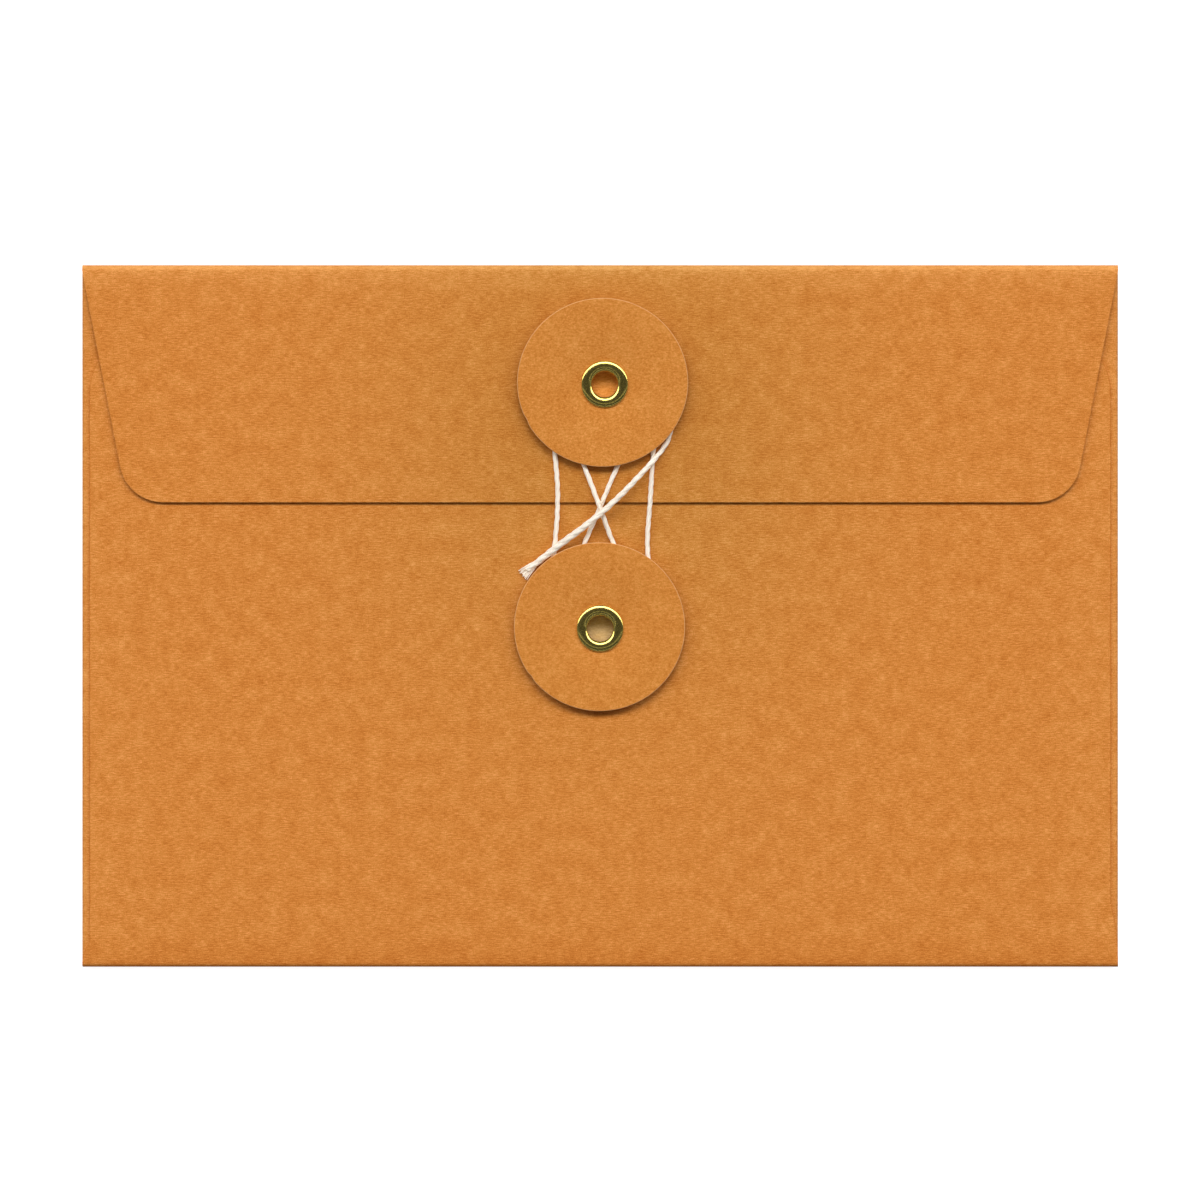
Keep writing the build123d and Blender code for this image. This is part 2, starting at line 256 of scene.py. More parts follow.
free_end_points = strand(
    (10.20, 15.225, 0.485),
    (10.35, 10.90, 0.30),
    (9.05, 8.45, 0.28),
    (5.80, 4.85, 1.62),
    (2.20, 1.10, 1.70),
    (-2.05, -2.57, 1.62),
    (-6.55, -5.81, 0.60),
    (-11.22, -9.50, -0.40),
)
free_end_swell = (0.95, 0.95, 1.0, 1.12, 1.20, 1.30, 1.45, 1.25)


def route_curve(name, points, swells):
    """A smooth line with the given corner points, and the share of the full thickness at each."""
    curve = bpy.data.curves.new(name, "CURVE")
    curve.dimensions = "3D"
    curve.resolution_u = 16
    spline = curve.splines.new("NURBS")
    spline.points.add(len(points) - 1)
    for corner, point, swell in zip(spline.points, points, swells):
        corner.co = (*point, 1)
        corner.radius = swell
    spline.order_u = 3
    spline.use_endpoint_u = True
    route = bpy.data.objects.new(name, curve)
    scene.collection.objects.link(route)
    return route


def line_of(route):
    """The points of a route's smooth line."""
    line = bpy.data.meshes.new_from_object(route.evaluated_get(bpy.context.evaluated_depsgraph_get()))
    return [vertex.co.copy() for vertex in line.vertices]


def field(tree, operation, first, second):
    """A sum, product or like of two values in a node tree."""
    return node(tree, "ShaderNodeMath", {0: first, 1: second}, operation=operation).outputs[0]


def vector_field(tree, operation, first, second):
    """A sum or product of two vectors in a node tree."""
    return node(tree, "ShaderNodeVectorMath", {0: first, 1: second}, operation=operation).outputs[0]


def scaled(tree, vector, factor):
    """A vector in a node tree, times a factor."""
    return node(tree, "ShaderNodeVectorMath", {0: vector, 3: factor}, operation="SCALE").outputs[0]


def group_inputs(tree, **labels_by_kind):
    """Give a node group its input sockets, and tell the identifier of each."""
    sockets = {}
    for kind, labels in labels_by_kind.items():
        for label in labels:
            made = tree.interface.new_socket(label, in_out="INPUT", socket_type=f"NodeSocket{kind}")
            sockets[label] = made.identifier
    return sockets


laying = bpy.data.node_groups.new("Laid string", "GeometryNodeTree")
laying_sockets = group_inputs(
    laying,
    Object=["Route"],
    Int=["Plies"],
    Float=["Ply radius", "Ply offset", "Lay length", "Unevenness", "Step"],
    Material=["Finish"],
)
lay = functools.partial(node, laying)
lay_field = functools.partial(field, laying)
given = lay("NodeGroupInput").outputs
route_line = lay("GeometryNodeObjectInfo", {"Object": given["Route"]}).outputs["Geometry"]
even_line = lay("GeometryNodeResampleCurve", {"Curve": route_line, "Length": given["Step"]}, mode="LENGTH")
ply_values = {"Geometry": even_line, "Amount": given["Plies"]}
plies = lay("GeometryNodeDuplicateElements", ply_values, domain="SPLINE")
along = lay("GeometryNodeSplineParameter").outputs["Length"]
ply_share = lay_field("DIVIDE", plies.outputs["Duplicate Index"], given["Plies"])
turns = lay_field("ADD", lay_field("DIVIDE", along, given["Lay length"]), ply_share)
slubs_apart = 30.0
slubs_a_turn = 3.0
slub_shift = lay_field("MULTIPLY", ply_share, slubs_apart)
slub_place = lay_field("MULTIPLY", lay_field("ADD", turns, slub_shift), slubs_a_turn)
slubs = lay("ShaderNodeTexNoise", {"W": slub_place, "Scale": 1.0, "Detail": 2.0}, noise_dimensions="1D")
slub = lay_field("MULTIPLY", lay_field("SUBTRACT", slubs, 0.5), given["Unevenness"])
swell = lay_field("MULTIPLY", lay("GeometryNodeInputRadius"), lay_field("ADD", slub, 1.0))
lay_angle = lay_field("MULTIPLY", turns, math.tau)
normal = lay("GeometryNodeInputNormal")
side = vector_field(laying, "CROSS_PRODUCT", lay("GeometryNodeInputTangent"), normal)
across = scaled(laying, normal, lay_field("COSINE", lay_angle, 0))
aside = scaled(laying, side, lay_field("SINE", lay_angle, 0))
ply_reach = lay_field("MULTIPLY", given["Ply offset"], swell)
ply_shift = scaled(laying, vector_field(laying, "ADD", across, aside), ply_reach)
laid = lay("GeometryNodeSetPosition", {"Geometry": plies, "Offset": ply_shift})
section = lay("GeometryNodeCurvePrimitiveCircle", {"Resolution": 10, "Radius": given["Ply radius"]})
round_share = lay("GeometryNodeSplineParameter").outputs["Factor"]


def kept(geometry, name, value):
    """Geometry that keeps a value from here on, and the value."""
    keeper = lay("GeometryNodeCaptureAttribute", {"Geometry": geometry})
    keeper.capture_items.new("FLOAT", name)
    laying.links.new(value, keeper.inputs[name])
    return keeper.outputs["Geometry"], keeper.outputs[name]


kept_section, around = kept(section, "Around", round_share)
kept_line, line_place = kept(laid, "Along", along)
yarn = lay(
    "GeometryNodeCurveToMesh",
    {"Curve": kept_line, "Profile Curve": kept_section, "Scale": swell, "Fill Caps": True},
)
around_angle = lay_field("MULTIPLY", around, math.tau)
fibre_place = lay(
    "ShaderNodeCombineXYZ",
    {
        "X": lay_field("COSINE", around_angle, 0),
        "Y": lay_field("SINE", around_angle, 0),
        "Z": lay_field("DIVIDE", line_place, given["Lay length"]),
    },
)


def give_out(tree, geometry, place, finish):
    """End a node group of string: keep each point's place in the fibres, smooth it and give it its finish."""
    tree.interface.new_socket("Geometry", in_out="OUTPUT", socket_type="NodeSocketGeometry")
    marked = node(
        tree,
        "GeometryNodeStoreNamedAttribute",
        {"Geometry": geometry, "Name": "fibre", "Value": place},
        data_type="FLOAT_VECTOR",
        domain="POINT",
    )
    smooth = node(tree, "GeometryNodeSetShadeSmooth", {"Geometry": marked})
    finished = node(tree, "GeometryNodeSetMaterial", {"Geometry": smooth, "Material": finish})
    node(tree, "NodeGroupOutput", {"Geometry": finished})


give_out(laying, yarn, fibre_place, given["Finish"])


def colour_ramp(tree, value, stops):
    """Colours that follow a value through a list of stops."""
    ramp = node(tree, "ShaderNodeValToRGB", {"Fac": value})
    while len(ramp.color_ramp.elements) < len(stops):
        ramp.color_ramp.elements.new(1.0)
    for element, (place, colour) in zip(ramp.color_ramp.elements, stops):
        element.position = place
        element.color = (*colour, 1)
    return ramp.outputs["Color"]


def bump(tree, shader, height, strength, distance):
    """Raise a shader's surface by a height."""
    raised = node(tree, "ShaderNodeBump", {"Height": height, "Strength": strength, "Distance": distance})
    tree.links.new(raised.outputs["Normal"], shader.inputs["Normal"])


# The slight warm glow is painted light: it stands for the light that goes about inside loose white cotton.
cotton, cotton_tree, cotton_shader = principled(
    "cotton string",
    0.92,
    Sheen_Weight=0.25,
    Sheen_Roughness=0.5,
    Emission_Color=(1.0, 0.67, 0.40, 1),
    Emission_Strength=0.075,
)
fibre = node(cotton_tree, "ShaderNodeAttribute", attribute_name="fibre").outputs["Vector"]
fibre_stretch = vector_field(cotton_tree, "MULTIPLY", fibre, (2.2, 2.2, 1.4))
fibres = node(
    cotton_tree,
    "ShaderNodeTexNoise",
    {"Vector": fibre_stretch, "Scale": 1.6, "Detail": 5.0, "Roughness": 0.6},
)
# The cream cotton colours carry a painted peach tint, for light thrown back on the string from the orange
# paper.
cotton_colours = ((0.32, (0.86, 0.69, 0.54)), (0.48, (1.0, 0.92, 0.79)), (0.64, (1.0, 0.98, 0.87)))
cotton_colour = colour_ramp(cotton_tree, fibres, cotton_colours)
cotton_tree.links.new(cotton_colour, cotton_shader.inputs["Base Color"])
bump(cotton_tree, cotton_shader, fibres, 0.5, 0.06 * mm)


def grown(name, tree, sockets, values):
    """A piece that a node group makes from values, as a plain mesh."""
    piece = bpy.data.objects.new(name, bpy.data.meshes.new(name))
    scene.collection.objects.link(piece)
    maker = piece.modifiers.new("maker", "NODES")
    maker.node_group = tree
    for label, value in values.items():
        maker[sockets[label]] = value
    made = bpy.data.meshes.new_from_object(piece.evaluated_get(bpy.context.evaluated_depsgraph_get()))
    piece.modifiers.clear()
    piece.data = made
    return piece


def laid_string(name, route, thickness, lay_length, step):
    """A string of three twisted plies along a route."""
    values = {
        "Route": route,
        "Plies": 3,
        "Ply radius": 0.345 * thickness,
        "Ply offset": 0.15 * thickness,
        "Lay length": lay_length,
        "Unevenness": 0.5,
        "Step": step,
        "Finish": cotton,
    }
    return grown(name, laying, laying_sockets, values)


string_swell = [1.0] * len(winding_points) + list(free_end_swell)
string_route = route_curve("string route", winding_points + free_end_points, string_swell)
string_line = line_of(string_route)
cotton_string = laid_string("cotton_string", string_route, string_thickness, 5.0 * mm, 0.22 * mm)
bpy.data.objects.remove(string_route)
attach(cotton_string, "flap")
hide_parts("string_winding", "string_free_end")

# Knot: the string's fixed end, wrapped three times round itself and drawn up against the upper neck.
# It is the same cotton, and the upper disc hides it.
knot_turns = 3
knot_corners = 8
knot_low, knot_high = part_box("string_knot")
knot_middle = (knot_low + knot_high) / 2
wrap_thickness = 0.36 * mm
wrap_radius = (knot_high.z - knot_low.z) / 2 - wrap_thickness / 2
knot_points = []
for i in range(knot_turns * knot_corners + 1):
    turn = math.tau * i / knot_corners
    shift = (i / (knot_turns * knot_corners) - 0.5) * (knot_high.x - knot_low.x - wrap_thickness)
    wrap_reach = Vector((shift, wrap_radius * math.cos(turn), wrap_radius * math.sin(turn)))
    knot_points.append(knot_middle + wrap_reach)
knot_route = route_curve("knot route", knot_points, [1.0] * len(knot_points))
string_knot = laid_string("string_knot_wraps", knot_route, wrap_thickness, 1.2 * mm, 0.12 * mm)
bpy.data.objects.remove(knot_route)
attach(string_knot, "flap")
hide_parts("string_knot")

# Frayed end: the last few millimetres of the string, where its plies have opened into a flat brush of
# single cotton yarns that lies on the pocket beside the lower disc.
fraying = bpy.data.node_groups.new("Frayed end", "GeometryNodeTree")
fraying_sockets = group_inputs(
    fraying,
    Int=["Yarns", "Seed"],
    Float=["Yarn length", "Yarn radius", "Root width", "Root height", "Fan", "Rise"],
    Vector=["Root", "Heading"],
    Material=["Finish"],
)
fray = functools.partial(node, fraying)
fray_field = functools.partial(field, fraying)
asked = fray("NodeGroupInput").outputs


def chance(low, high, shift):
    """A random value for each yarn, between two limits."""
    seed = fray_field("ADD", asked["Seed"], shift)
    return fray("FunctionNodeRandomValue", {2: low, 3: high, "Seed": seed}, data_type="FLOAT").outputs[1]


stray_from = 0.92
stray_reach = 0.30
yarn_number = fray_field("ADD", fray("GeometryNodeInputIndex"), chance(0.1, 0.9, 1))
yarn_place = fray_field("DIVIDE", yarn_number, asked["Yarns"])
sideways = fray_field("SUBTRACT", fray_field("MULTIPLY", yarn_place, 2.0), 1.0)
stray = fray_field("MULTIPLY", fray_field("GREATER_THAN", yarn_place, stray_from), stray_reach)
upwards = chance(-1.0, 1.0, 2)
root_y = fray_field("MULTIPLY", sideways, asked["Root width"])
root_z = fray_field("MULTIPLY", upwards, asked["Root height"])
yarn_root = fray("ShaderNodeCombineXYZ", {"Y": root_y, "Z": root_z})
fan_share = fray_field("ADD", fray_field("ADD", sideways, stray), chance(-0.15, 0.15, 3))
fan_angle = fray_field("MULTIPLY", fan_share, asked["Fan"])
rise_angle = fray_field("MULTIPLY", upwards, asked["Rise"])
roll_angle = chance(-0.5, 0.5, 4)
yarn_turn = fray("ShaderNodeCombineXYZ", {"X": roll_angle, "Y": rise_angle, "Z": fan_angle})
yarn_points = fray("GeometryNodePoints", {"Count": asked["Yarns"], "Position": yarn_root})
yarn_curl = fray_field("MULTIPLY", asked["Yarn length"], 0.06)
yarn_end = fray("ShaderNodeCombineXYZ", {"X": asked["Yarn length"], "Y": yarn_curl})
yarn_half = fray("ShaderNodeCombineXYZ", {"X": fray_field("MULTIPLY", asked["Yarn length"], 0.55)})
yarn_line = fray(
    "GeometryNodeCurveQuadraticBezier",
    {"Resolution": 6, "Start": (0, 0, 0), "Middle": yarn_half, "End": yarn_end},
)
yarn_share = fray("GeometryNodeSplineParameter")
yarn_taper = fray("ShaderNodeMapRange", {"Value": yarn_share, "To Min": 1.0, "To Max": 0.55})
yarn_section = fray("GeometryNodeCurvePrimitiveCircle", {"Resolution": 6, "Radius": asked["Yarn radius"]})
single_yarn = fray(
    "GeometryNodeCurveToMesh",
    {"Curve": yarn_line, "Profile Curve": yarn_section, "Scale": yarn_taper, "Fill Caps": True},
)
yarn_size = fray("ShaderNodeCombineXYZ", {"X": chance(0.90, 1.0, 5), "Y": 1.0, "Z": 1.0})
brush = fray(
    "GeometryNodeInstanceOnPoints",
    {"Points": yarn_points, "Instance": single_yarn, "Rotation": yarn_turn, "Scale": yarn_size},
)
brush_mesh = fray("GeometryNodeRealizeInstances", {"Geometry": brush})
placed = fray(
    "GeometryNodeTransform",
    {"Geometry": brush_mesh, "Translation": asked["Root"], "Rotation": asked["Heading"]},
)
give_out(fraying, placed, fray("GeometryNodeInputPosition"), asked["Finish"])
fray_overlap = 1.3 * mm
tip_direction = (string_line[-1] - string_line[-4]).normalized()
fray_values = {
    "Yarns": 13,
    "Yarn length": 2.5 * mm,
    "Yarn radius": 0.13 * mm,
    "Root width": 0.40 * mm,
    "Root height": 0.20 * mm,
    "Fan": 0.20,
    "Rise": 0.04,
    "Root": string_line[-1] - tip_direction * fray_overlap,
    "Heading": tip_direction.to_track_quat("X", "Z").to_euler(),
    "Seed": 7,
    "Finish": cotton,
}
string_fray = grown("string_fray", fraying, fraying_sockets, fray_values)
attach(string_fray, "flap")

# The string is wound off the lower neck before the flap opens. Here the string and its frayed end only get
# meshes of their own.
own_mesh(cotton_string)
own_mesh(string_fray)

# Sheet: one blank of kraft paper, dyed orange on its outer face and plain tan inside, cut by a die and
# folded. The back wall has a narrow flap folded in along each side, under the front wall.
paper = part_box("address_panel")[1].z
back_low, back_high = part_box("address_panel")
side_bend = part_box("left_side_fold")[1].z / 2
seam_flap_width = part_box("right_seam_flap")[1].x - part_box("right_seam_flap")[0].x
seam_taper = 6.0 * mm
upper_button = Vector((upper_neck.x, upper_neck.y))
lower_button = Vector((lower_neck.x, lower_neck.y))
eyelet_hole = 2.25 * mm

fibre_group = bpy.data.node_groups.new("Kraft fibres", "ShaderNodeTree")
fibre_labels = ["Streak length", "Streak width", "Grain size", "Cloud size"]
group_inputs(fibre_group, Vector=["Place"], Float=fibre_labels)
fibre_group.interface.new_socket("Mottle", in_out="OUTPUT", socket_type="NodeSocketFloat")
sheet_place = node(fibre_group, "NodeGroupInput").outputs


def noise_over(length, width, roughness):
    """Noise with its own grain size along and across the sheet."""
    along_count = field(fibre_group, "DIVIDE", 1.0, length)
    across_count = field(fibre_group, "DIVIDE", 1.0, width)
    counts = {"X": along_count, "Y": across_count, "Z": across_count}
    count = node(fibre_group, "ShaderNodeCombineXYZ", counts)
    spot = vector_field(fibre_group, "MULTIPLY", sheet_place["Place"], count)
    values = {"Vector": spot, "Scale": 1.0, "Detail": 2.0, "Roughness": roughness}
    return node(fibre_group, "ShaderNodeTexNoise", values).outputs["Fac"]


fibre_shares = (
    ("Streak length", "Streak width", 0.55, 0.44),
    ("Grain size", "Grain size", 0.5, 0.36),
    ("Cloud size", "Cloud size", 0.5, 0.20),
)
mottle = 0.0
for length, width, roughness, share in fibre_shares:
    speckle = noise_over(sheet_place[length], sheet_place[width], roughness)
    mottle = field(fibre_group, "ADD", mottle, field(fibre_group, "MULTIPLY", speckle, share))
node(fibre_group, "NodeGroupOutput", {"Mottle": mottle})
tone_weight = 0.12
closure_shade_weight = 0.135


def shifted(colour, step):
    """A colour made lighter or darker by a step, as the eye sees it, that is a little less in red."""
    steps = (0.8 * step, step, step)
    return tuple(max(channel ** (1 / 2.2) + part, 0) ** 2.2 for channel, part in zip(colour, steps))


def kraft(name, colour, contrast, fibre_sizes, place_attribute=None):
    """A kraft paper or card finish, with fibres along the sheet's width, in sizes as the labels name them."""
    material, tree, shader = principled(name, 0.82, Specular_IOR_Level=0.25)
    if place_attribute:
        place = node(tree, "ShaderNodeAttribute", attribute_name=place_attribute).outputs["Vector"]
    else:
        place = node(tree, "ShaderNodeTexCoord").outputs["Object"]
    fibre_values = {"Place": place, **dict(zip(fibre_labels, fibre_sizes))}
    mottle = node(tree, "ShaderNodeGroup", fibre_values, node_tree=fibre_group).outputs["Mottle"]
    shade = mottle
    # Painted light and shade: the tone attribute makes the paper paler where light falls on it and darker
    # where shade falls.
    if place_attribute:
        tone = node(tree, "ShaderNodeAttribute", attribute_name="tone").outputs["Fac"]
        shade = field(tree, "ADD", mottle, field(tree, "MULTIPLY", tone, tone_weight))
    stops = ((0.30, shifted(colour, -contrast)), (0.50, colour), (0.70, shifted(colour, contrast)))
    dyed = colour_ramp(tree, shade, stops)
    # Painted shade: round the closure the dye loses some of its red.
    if place_attribute:
        closure_shade = node(tree, "ShaderNodeAttribute", attribute_name="closure_shade").outputs["Fac"]
        kept_red = field(tree, "SUBTRACT", 1.0, field(tree, "MULTIPLY", closure_shade, closure_shade_weight))
        kept_dye = node(tree, "ShaderNodeCombineXYZ", {"X": kept_red, "Y": 1.0, "Z": 1.0})
        dyed = vector_field(tree, "MULTIPLY", dyed, kept_dye)
    tree.links.new(dyed, shader.inputs["Base Color"])
    bump(tree, shader, mottle, 0.22, 0.03 * mm)
    return material


sheet_fibres = (0.95 * mm, 0.20 * mm, 0.18 * mm, 2.5 * mm)
cut_fibres = (0.5 * mm, 0.12 * mm, 0.2 * mm, 4.0 * mm)
outer_kraft = kraft("orange kraft", (0.700, 0.241, 0.038), 0.150, sheet_fibres, "blank")
inner_kraft = kraft("tan kraft", (0.65, 0.445, 0.225), 0.10, sheet_fibres, "blank")
cut_kraft = kraft("cut paper edge", (0.66, 0.330, 0.120), 0.08, cut_fibres, "blank")
# Painted shade round the closure: where it is centred and how far it spreads.
closure_shade_middle = closure_middle + Vector((2 * mm, 12 * mm, 0))
closure_shade_width = 33 * mm
closure_shade_height = 40 * mm


def meshed(name, points, faces, materials, finishes, sharp_angle):
    """A smooth piece from points and faces, with a finish for each face and sharp edges from an angle up."""
    mesh = bpy.data.meshes.new(name)
    mesh.from_pydata(points, [], faces)
    for material in materials:
        mesh.materials.append(material)
    mesh.polygons.foreach_set("material_index", finishes)
    mesh.shade_smooth()
    shaped = bmesh.new()
    shaped.from_mesh(mesh)
    bmesh.ops.recalc_face_normals(shaped, faces=shaped.faces)
    shaped.to_mesh(mesh)
    shaped.free()
    mesh.set_sharp_from_angle(angle=math.radians(sharp_angle))
    piece = bpy.data.objects.new(name, mesh)
    scene.collection.objects.link(piece)
    return piece


def paper_sheet(name, outer, inward, blank, tone, holes=(), closure_shade_share=1.0):
    """A sheet of paper from a grid of points on its outer face and the directions to its inner face.

    blank gives each point's place on the flat sheet, tone is painted light where above 0 and painted shade
    where below 0, holes are round ones, as (centre, radius), and handled is 1 where painted shade takes some
    red out of the outer face's dye round the closure and 0 where it doesn't reach."""
    rows, columns = outer.shape[:2]
    outer = outer.reshape(-1, 3).copy()
    inward = inward.reshape(-1, 3)
    blank = blank.reshape(-1, 2)
    tone = tone.reshape(-1)
    closure_shade_share = np.broadcast_to(closure_shade_share, (rows, columns)).reshape(-1)
    in_hole = np.zeros(len(outer), bool)
    for centre, radius in holes:
        reach = outer[:, :2] - np.array(centre)
        apart = np.linalg.norm(reach, axis=1)
        inside = apart < radius
        outer[inside, :2] += reach[inside] * (radius / np.maximum(apart[inside], 1e-9) - 1)[:, None]
        in_hole |= inside
    cells = []
    for row in range(rows - 1):
        for column in range(columns - 1):
            corner = row * columns + column
            cell = (corner, corner + 1, corner + columns + 1, corner + columns)
            if not in_hole[list(cell)].all():
                cells.append(cell)
    used = sorted({corner for cell in cells for corner in cell})
    renumbered = {corner: i for i, corner in enumerate(used)}
    cells = [tuple(renumbered[corner] for corner in cell) for cell in cells]
    outer, inward, blank, tone, closure_shade_share = outer[used], inward[used], blank[used], tone[used], closure_shade_share[used]
    count = len(used)
    edge_uses = {}
    for cell in cells:
        for first, second in zip(cell, cell[1:] + cell[:1]):
            edge_uses.setdefault(frozenset((first, second)), []).append((first, second))
    rim = [uses[0] for uses in edge_uses.values() if len(uses) == 1]
    faces = list(cells)
    faces += [tuple(count + corner for corner in reversed(cell)) for cell in cells]
    faces += [(second, first, count + first, count + second) for first, second in rim]
    points = np.concatenate([outer, outer + inward * paper]).tolist()
    finishes = [0] * len(cells) + [1] * len(cells) + [2] * len(rim)
    piece = meshed(name, points, faces, (outer_kraft, inner_kraft, cut_kraft), finishes, sharp_angle=50)
    flat = np.zeros((2 * count, 3), np.float32)
    flat[:, :2] = np.tile(blank, (2, 1))
    flat[count:, 2] = paper
    # Painted shade round the closure, strongest at its middle.
    across = (outer[:, 0] - closure_shade_middle.x) / closure_shade_width
    along = (outer[:, 1] - closure_shade_middle.y) / closure_shade_height
    closure_shade = np.zeros(2 * count, np.float32)
    closure_shade[:count] = closure_shade_share * np.exp(-(across**2) - along**2)
    attributes = piece.data.attributes
    attributes.new("blank", "FLOAT_VECTOR", "POINT").data.foreach_set("vector", flat.ravel())
    attributes.new("tone", "FLOAT", "POINT").data.foreach_set("value", np.tile(tone, 2).astype(np.float32))
    attributes.new("closure_shade", "FLOAT", "POINT").data.foreach_set("value", closure_shade)
    return piece


def bend_angles(start, end, steps):
    """Angles in radians along a fold."""
    return np.radians(np.linspace(start, end, steps + 1))


fold_steps = 10
panel_columns = 70
panel_rows = 50
columns = []
for distance in np.linspace(seam_flap_width, 0, 9):
    columns.append((back_low.x + distance, 2 * side_bend, (0, -1), -side_bend * math.pi - distance, distance))
for angle in bend_angles(90, 270, fold_steps)[1:-1]:
    turned_by = side_bend * (angle - math.radians(270))
    reach = (back_low.x + side_bend * math.cos(angle), side_bend + side_bend * math.sin(angle))
    columns.append((*reach, (-math.cos(angle), -math.sin(angle)), turned_by, 0.0))
left_columns = [(x, z, inward, back_low.x + beyond, apart) for x, z, inward, beyond, apart in columns]
flat_columns = [(x, 0.0, (0, 1), x, 0.0) for x in np.linspace(back_low.x, back_high.x, panel_columns)]
right_columns = [
    (-x, z, (-inward[0], inward[1]), -along_sheet, apart) for x, z, inward, along_sheet, apart in left_columns
]
back_columns = left_columns + flat_columns + right_columns[::-1]
back_outer = np.zeros((panel_rows, len(back_columns), 3))
back_inward = np.zeros_like(back_outer)
back_blank = np.zeros((panel_rows, len(back_columns), 2))
for column, (x, z, inward, along_sheet, apart) in enumerate(back_columns):
    taper = seam_taper * apart / seam_flap_width
    heights = np.linspace(back_low.y + taper, back_high.y - taper, panel_rows)
    back_outer[:, column, 0] = x
    back_outer[:, column, 1] = heights
    back_outer[:, column, 2] = z
    back_inward[:, column, 0] = inward[0]
    back_inward[:, column, 2] = inward[1]
    back_blank[:, column, 0] = along_sheet
    back_blank[:, column, 1] = heights
# Painted light: the side folds and the strip beside them are painted paler.
back_side_painted_light = 0.35
back_bend_painted_light = 0.2
fold_reach = (np.abs(back_outer[:, :, 0]) - back_high.x) / side_bend
back_tone = back_side_painted_light * np.clip(1 + fold_reach / 4, 0, 1) + back_bend_painted_light * np.clip(fold_reach, 0, 1)
back_sheet = paper_sheet("back_sheet", back_outer, back_inward, back_blank, back_tone, closure_shade_share=0.0)
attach(back_sheet, "envelope")
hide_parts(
    "address_panel", "left_side_fold", "right_side_fold", "left_seam_flap", "right_seam_flap"
)

# Front wall: the same sheet folded up along the bottom, as wide as the envelope at the fold and a little
# narrower above it, with round shoulders at the pocket's mouth and a punched hole for the lower eyelet.
front_low, front_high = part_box("pocket_panel")
bottom_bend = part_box("bottom_fold")[1].z / 2
front_top = front_high.z
front_half_width = front_high.x
pocket_inset = 1.1 * mm
left_flare = 3.0 * mm
right_flare = 9.0 * mm
shoulder_radius = 9.0 * mm
pocket_puff = 0.18 * mm
held_radius = 13 * mm
held_fade = 22 * mm
hole_reach = 4.0 * mm
fine_columns = 16
coarse_columns = 34


def columns_about(hole_x, half_width):
    """Places across a sheet, as shares of its half width, that are closer together about an eyelet hole."""
    middle = hole_x / half_width
    reach = hole_reach / half_width
    return np.concatenate(
        [
            np.linspace(-1, middle - reach, coarse_columns, endpoint=False),
            np.linspace(middle - reach, middle + reach, fine_columns, endpoint=False),
            np.linspace(middle + reach, 1, coarse_columns + 1),
        ]
    )


def front_side_at(y, flare):
    """Half the front wall's width at a height, on a side that flares out to the bottom fold."""
    narrow = front_half_width - pocket_inset
    shoulder = front_high.y - shoulder_radius
    if y < front_low.y + flare:
        return front_half_width - pocket_inset * ((y - front_low.y) / flare) ** 2
    if y > shoulder:
        return narrow - shoulder_radius + math.sqrt(max(shoulder_radius**2 - (y - shoulder) ** 2, 0.0))
    return narrow


def front_half_width_at(y):
    """Half the front wall's width at a height, for each column."""
    return np.where(front_columns < 0, front_side_at(y, left_flare), front_side_at(y, right_flare))


def front_height(x, y):
    """Height of the front wall, which stands up a little between its folds, seams and the lower button."""
    across_share = np.clip(1 - (np.abs(x) / front_half_width) ** 2, 0, 1)
    up_share = np.clip((y - front_low.y) / (lower_button.y - front_low.y), 0, 1)
    apart = np.hypot(x - lower_button.x, y - lower_button.y)
    clear = np.clip((apart - held_radius) / held_fade, 0, 1)
    puff = pocket_puff * across_share * np.sin(math.pi * up_share) * clear**2 * (3 - 2 * clear)
    return front_top + puff


front_columns = columns_about(lower_button.x, front_half_width)
shade_line_share = 0.15 * mm / front_half_width
front_columns = np.concatenate([[-1, shade_line_share - 1], front_columns[1:-1], [1 - shade_line_share, 1]])
shoulder_angles = np.radians(np.linspace(0, 90, 13))[1:]
front_heights = np.concatenate(
    [
        np.linspace(front_low.y, front_low.y + right_flare, 10)[1:],
        np.linspace(front_low.y + right_flare, lower_button.y - hole_reach, 22)[1:],
        np.linspace(lower_button.y - hole_reach, lower_button.y + hole_reach, 17)[1:],
        np.linspace(lower_button.y + hole_reach, front_high.y - shoulder_radius, 18)[1:],
        front_high.y - shoulder_radius + shoulder_radius * np.sin(shoulder_angles),
    ]
)
bottom_angles = bend_angles(270, 90, fold_steps)


def folded_panel(columns, root, bend, angles, heights, way, half_width_at, height_at):
    """Grids of a folded panel's outer points, inward directions and places on the flat sheet, fold first.

    way is 1 or -1, for up or down the flat sheet."""
    fold = len(angles)
    outer = np.zeros((fold + len(heights), len(columns), 3))
    inward = np.zeros_like(outer)
    blank = np.zeros((*outer.shape[:2], 2))
    outer[:fold, :, 0] = columns * half_width_at(root)
    outer[:fold, :, 1] = root + bend * np.cos(angles)[:, None]
    outer[:fold, :, 2] = bend + bend * np.sin(angles)[:, None]
    for row, y in enumerate(heights, start=fold):
        outer[row, :, 0] = columns * half_width_at(y)
    outer[fold:, :, 1] = heights[:, None]
    outer[fold:, :, 2] = height_at(outer[fold:, :, 0], outer[fold:, :, 1])
    inward[:fold, :, 1] = -np.cos(angles)[:, None]
    inward[:fold, :, 2] = -np.sin(angles)[:, None]
    inward[fold:, :, 2] = -1
    blank[:, :, 0] = outer[:, :, 0]
    blank[:fold, :, 1] = root + way * bend * np.abs(angles - angles[0])[:, None]
    blank[fold:, :, 1] = root + way * (bend * math.pi + np.abs(heights - root)[:, None])
    return outer, inward, blank


def near(distance, reach):
    """How near a place is to a line, from 1 on the line to 0 at the given reach from it."""
    return np.clip(1 - distance / reach, 0, 1)


